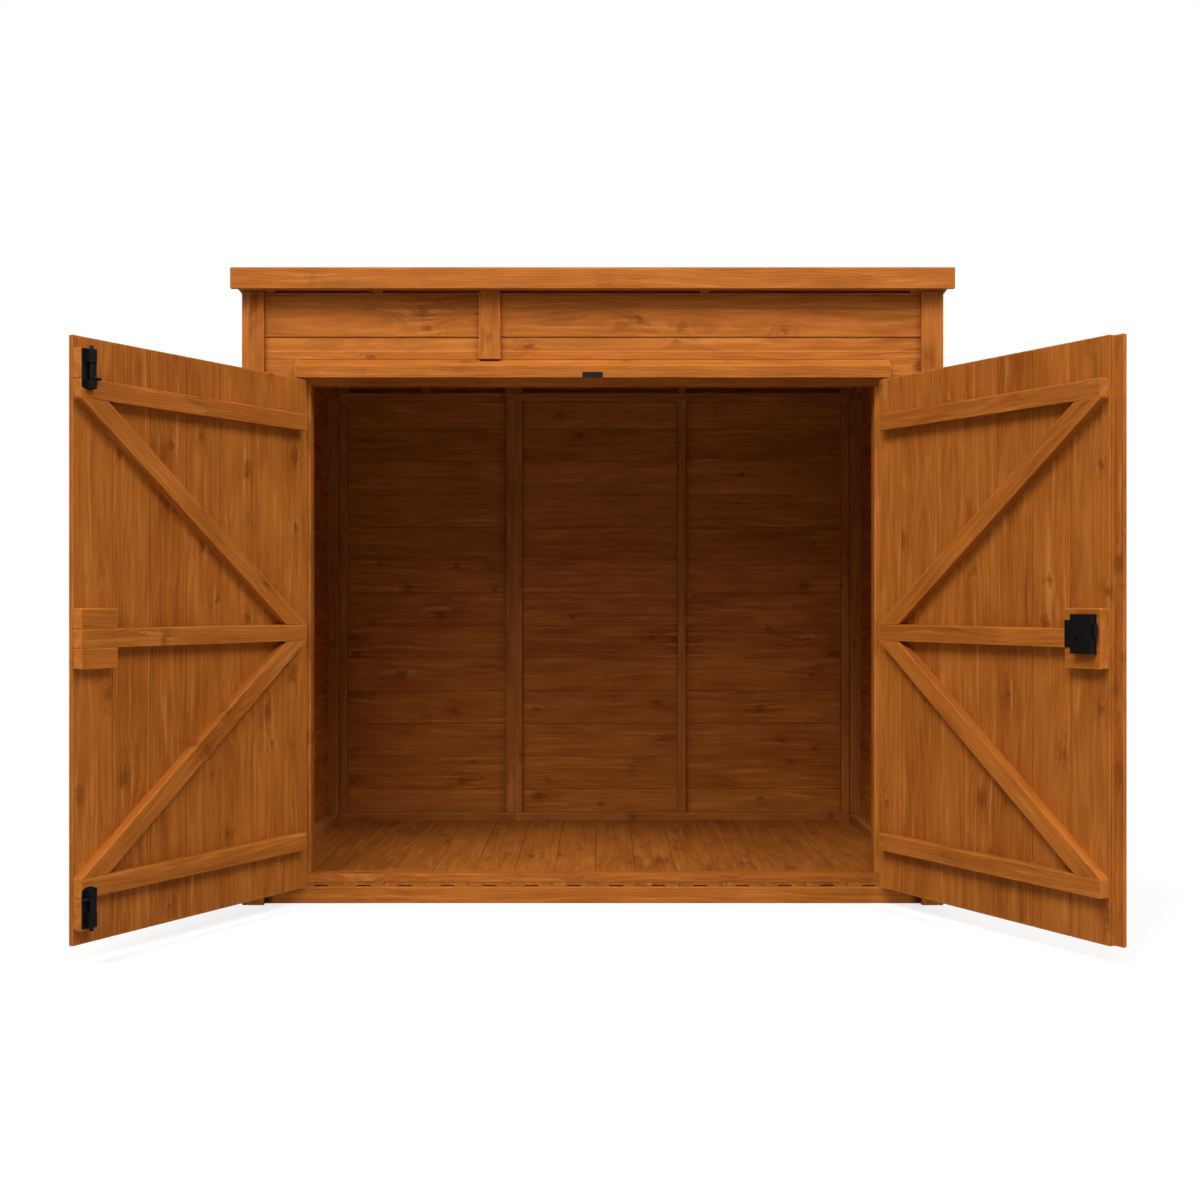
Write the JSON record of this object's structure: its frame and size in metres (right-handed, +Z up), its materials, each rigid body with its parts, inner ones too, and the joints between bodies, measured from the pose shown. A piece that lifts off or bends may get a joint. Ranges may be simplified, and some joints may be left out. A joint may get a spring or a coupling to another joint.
{
  "type": "timber pent bike shed",
  "caption": "Timber pent-roof bike shed with boarded walls, a felted roof, a boarded floor and double ledged-and-braced doors with tower bolts and a rim lock.",
  "frame": {"origin": "centre of the floor plan at ground level, on the underside of the middle floor joist", "axes": "+Z up, +X along the front to the right as seen from the front, the doors face -Y"},
  "size_m": [2.434, 1.9896, 1.7667],
  "materials": {
    "stained_softwood": "satin",
    "inner_softwood": "satin",
    "black_iron": "satin",
    "bright_bolt": "satin",
    "roof_felt": "matte"
  },
  "bodies": {
    "shed": {"floor_joists": "stained_softwood", "floor_boards": "inner_softwood", "back_wall_cladding": "stained_softwood", "left_wall_cladding": "stained_softwood", "right_wall_cladding": "stained_softwood", "front_side_cladding": "stained_softwood", "front_top_cladding": "stained_softwood", "back_wall_studs": "inner_softwood", "back_wall_rails": "inner_softwood", "side_wall_studs": "inner_softwood", "side_wall_rails": "inner_softwood", "front_wall_studs": "inner_softwood", "front_wall_rails": "inner_softwood", "door_jambs": "stained_softwood", "door_head": "stained_softwood", "door_sill": "stained_softwood", "rafters": "inner_softwood", "roof_edge_rails": "inner_softwood", "roof_boards": "inner_softwood", "roof_felt": "roof_felt", "front_fascia": "stained_softwood", "side_bargeboards": "stained_softwood", "rear_fascia": "stained_softwood", "corner_trims": "stained_softwood", "side_corner_trims": "stained_softwood", "cover_strips": "stained_softwood", "drip_board": "stained_softwood", "drip_plate": "black_iron", "frame_hinges": "black_iron"},
    "left_door": {"left_door_boards": "stained_softwood", "left_door_ledges": "stained_softwood", "left_door_braces": "stained_softwood", "left_door_blocks": "stained_softwood", "left_door_straps": "black_iron", "bolt_housings": "black_iron"},
    "top_bolt": {"top_bolt": "black_iron"},
    "bottom_bolt": {"bottom_bolt": "black_iron"},
    "right_door": {"right_door_boards": "stained_softwood", "right_door_ledges": "stained_softwood", "right_door_braces": "stained_softwood", "lock_block": "stained_softwood", "lock_case": "black_iron", "meeting_strip": "stained_softwood", "right_door_straps": "black_iron"},
    "lock_bolt": {"lock_bolt": "bright_bolt"}
  },
  "joints": [
    {"name": "left_door_hinge", "type": "hinge", "parent": "shed", "child": "left_door", "pos_m": [-0.808, -0.6095, 0], "axis": [0, 0, 1], "range_deg": [-50, 120]},
    {"name": "right_door_hinge", "type": "hinge", "parent": "shed", "child": "right_door", "pos_m": [0.808, -0.6095, 0], "axis": [0, 0, 1], "range_deg": [-120, 50]},
    {"name": "top_bolt_slide", "type": "slide", "parent": "left_door", "child": "top_bolt", "axis": [0, 0, 1], "range_m": [0, 0.03]},
    {"name": "bottom_bolt_slide", "type": "slide", "parent": "left_door", "child": "bottom_bolt", "axis": [0, 0, -1], "range_m": [0, 0.024]},
    {"name": "lock_bolt_slide", "type": "slide", "parent": "right_door", "child": "lock_bolt", "axis": [0.5, -0.866, 0], "range_m": [0, 0.014]}
  ]
}
